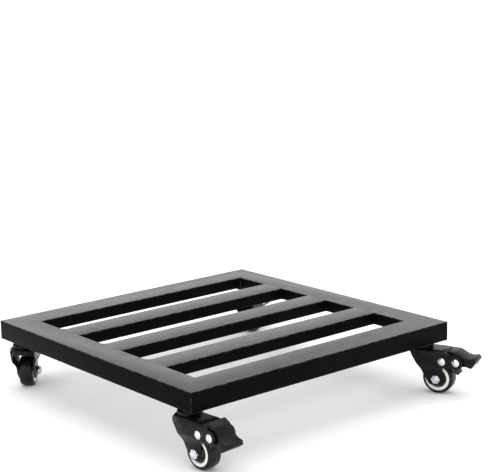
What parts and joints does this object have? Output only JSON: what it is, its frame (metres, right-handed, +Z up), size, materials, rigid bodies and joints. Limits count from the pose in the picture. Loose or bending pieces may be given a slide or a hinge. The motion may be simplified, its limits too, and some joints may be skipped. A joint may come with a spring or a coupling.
{
  "type": "plant pot caddy",
  "caption": "Square slatted steel caddy that carries a heavy plant pot on braked swivel casters, so that the pot can be rolled and parked.",
  "frame": {"origin": "centre of the deck's top face, on the middle slat", "axes": "+X along the slats towards the right rail, +Y along the side rails towards the back rail, +Z up, out of the deck"},
  "size_m": [0.5799, 0.6127, 0.114],
  "materials": {
    "deck_powder_coat": "satin black powder coat",
    "fork_black": "semi-gloss black electrophoretic coat on pressed steel",
    "zinc_plate": "bright zinc plate, slightly blue",
    "rivet_steel": "polished nickel-plated steel",
    "ball_steel": "polished hardened steel",
    "tread": "glossy black polyurethane",
    "rim_ivory": "ivory moulded polypropylene",
    "hub_black": "dark moulded dust cover",
    "shoe_black": "matt black brake shoe"
  },
  "bodies": {
    "frame": {"front_rail": "deck_powder_coat", "back_rail": "deck_powder_coat", "right_rail": "deck_powder_coat", "left_rail": "deck_powder_coat", "front_slat": "deck_powder_coat", "middle_slat": "deck_powder_coat", "back_slat": "deck_powder_coat", "corner_plate_front_left": "deck_powder_coat", "corner_plate_front_right": "deck_powder_coat", "corner_plate_back_left": "deck_powder_coat", "corner_plate_back_right": "deck_powder_coat", "weld_nuts": "zinc_plate", "lock_nuts": "zinc_plate", "caster_stems": "zinc_plate", "race_caps": "fork_black"},
    "swivel_front_left": {"fork_front_left": "fork_black", "race_balls_front_left": "ball_steel", "axle_bolt_front_left": "zinc_plate", "axle_nut_front_left": "zinc_plate", "axle_sleeve_front_left": "zinc_plate", "brake_rivets_front_left": "rivet_steel"},
    "wheel_front_left": {"tread_front_left": "tread", "wheel_core_front_left": "rim_ivory", "hub_caps_front_left": "hub_black"},
    "brake_front_left": {"brake_pedal_front_left": "fork_black", "brake_shoe_front_left": "shoe_black"},
    "swivel_front_right": {"fork_front_right": "fork_black", "race_balls_front_right": "ball_steel", "axle_bolt_front_right": "zinc_plate", "axle_nut_front_right": "zinc_plate", "axle_sleeve_front_right": "zinc_plate", "brake_rivets_front_right": "rivet_steel"},
    "wheel_front_right": {"tread_front_right": "tread", "wheel_core_front_right": "rim_ivory", "hub_caps_front_right": "hub_black"},
    "brake_front_right": {"brake_pedal_front_right": "fork_black", "brake_shoe_front_right": "shoe_black"},
    "swivel_back_left": {"fork_back_left": "fork_black", "race_balls_back_left": "ball_steel", "axle_bolt_back_left": "zinc_plate", "axle_nut_back_left": "zinc_plate", "axle_sleeve_back_left": "zinc_plate", "brake_rivets_back_left": "rivet_steel"},
    "wheel_back_left": {"tread_back_left": "tread", "wheel_core_back_left": "rim_ivory", "hub_caps_back_left": "hub_black"},
    "brake_back_left": {"brake_pedal_back_left": "fork_black", "brake_shoe_back_left": "shoe_black"},
    "swivel_back_right": {"fork_back_right": "fork_black", "race_balls_back_right": "ball_steel", "axle_bolt_back_right": "zinc_plate", "axle_nut_back_right": "zinc_plate", "axle_sleeve_back_right": "zinc_plate", "brake_rivets_back_right": "rivet_steel"},
    "wheel_back_right": {"tread_back_right": "tread", "wheel_core_back_right": "rim_ivory", "hub_caps_back_right": "hub_black"},
    "brake_back_right": {"brake_pedal_back_right": "fork_black", "brake_shoe_back_right": "shoe_black"}
  },
  "joints": [
    {"name": "swivel_turn_front_left", "type": "hinge", "parent": "frame", "child": "swivel_front_left", "pos_m": [-0.233, -0.221, -0.0416], "axis": [0, 0, 1], "continuous": true},
    {"name": "wheel_roll_front_left", "type": "hinge", "parent": "swivel_front_left", "child": "wheel_front_left", "pos_m": [-0.23105, -0.24893, -0.089], "axis": [0.9976, 0.0698, 0], "continuous": true},
    {"name": "brake_press_front_left", "type": "hinge", "parent": "swivel_front_left", "child": "brake_front_left", "pos_m": [-0.22874, -0.28185, -0.0582], "axis": [0.9976, 0.0698, 0], "range_deg": [-26, 0]},
    {"name": "swivel_turn_front_right", "type": "hinge", "parent": "frame", "child": "swivel_front_right", "pos_m": [0.233, -0.221, -0.0416], "axis": [0, 0, 1], "continuous": true},
    {"name": "wheel_roll_front_right", "type": "hinge", "parent": "swivel_front_right", "child": "wheel_front_right", "pos_m": [0.24349, -0.24696, -0.089], "axis": [0.9272, 0.3746, 0], "continuous": true},
    {"name": "brake_press_front_right", "type": "hinge", "parent": "swivel_front_right", "child": "brake_front_right", "pos_m": [0.25585, -0.27756, -0.0582], "axis": [0.9272, 0.3746, 0], "range_deg": [0, 26]},
    {"name": "swivel_turn_back_left", "type": "hinge", "parent": "frame", "child": "swivel_back_left", "pos_m": [-0.233, 0.221, -0.0416], "axis": [0, 0, 1], "continuous": true},
    {"name": "wheel_roll_back_left", "type": "hinge", "parent": "swivel_back_left", "child": "wheel_back_left", "pos_m": [-0.21426, 0.24181, -0.089], "axis": [-0.7431, 0.6691, 0], "continuous": true},
    {"name": "brake_press_back_left", "type": "hinge", "parent": "swivel_back_left", "child": "brake_back_left", "pos_m": [-0.19218, 0.26633, -0.0582], "axis": [-0.7431, 0.6691, 0], "range_deg": [0, 26]},
    {"name": "swivel_turn_back_right", "type": "hinge", "parent": "frame", "child": "swivel_back_right", "pos_m": [0.233, 0.221, -0.0416], "axis": [0, 0, 1], "continuous": true},
    {"name": "wheel_roll_back_right", "type": "hinge", "parent": "swivel_back_right", "child": "wheel_back_right", "pos_m": [0.25858, 0.23239, -0.089], "axis": [-0.4067, 0.9135, 0], "continuous": true},
    {"name": "brake_press_back_right", "type": "hinge", "parent": "swivel_back_right", "child": "brake_back_right", "pos_m": [0.28873, 0.24581, -0.0582], "axis": [-0.4067, 0.9135, 0], "range_deg": [0, 26]}
  ]
}
